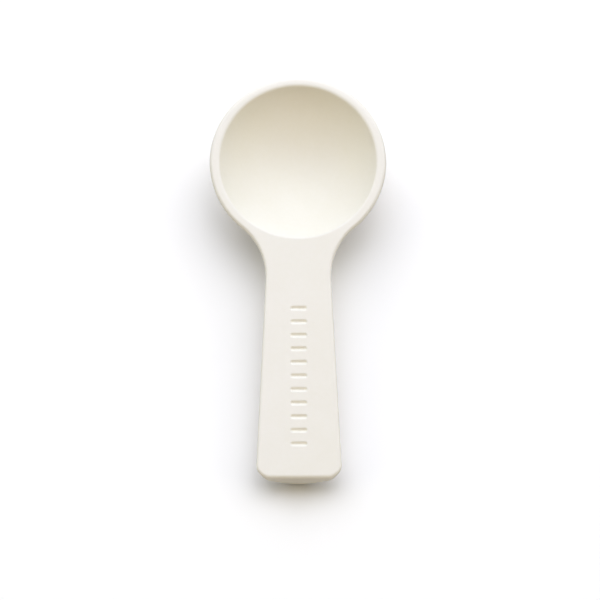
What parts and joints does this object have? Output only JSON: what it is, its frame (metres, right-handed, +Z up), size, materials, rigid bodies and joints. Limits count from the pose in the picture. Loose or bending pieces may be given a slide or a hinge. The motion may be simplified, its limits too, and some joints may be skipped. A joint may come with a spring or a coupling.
{
  "type": "teaspoon",
  "caption": "Moulded ceramic teaspoon with a round, shallow bowl whose flat rim runs on as the flat top of a short handle that widens to its end.",
  "frame": {"origin": "on the table, under the middle of the spoon's length and width", "axes": "+X across the spoon, +Y from the handle's end to the bowl's tip, +Z up; the spoon lies as it rests, on the bowl's bottom and the foot of the handle's end"},
  "size_m": [0.038, 0.0882, 0.0135],
  "materials": {
    "ivory_glaze": "matte"
  },
  "bodies": {
    "root": {"spoon": "ivory_glaze"}
  },
  "joints": []
}
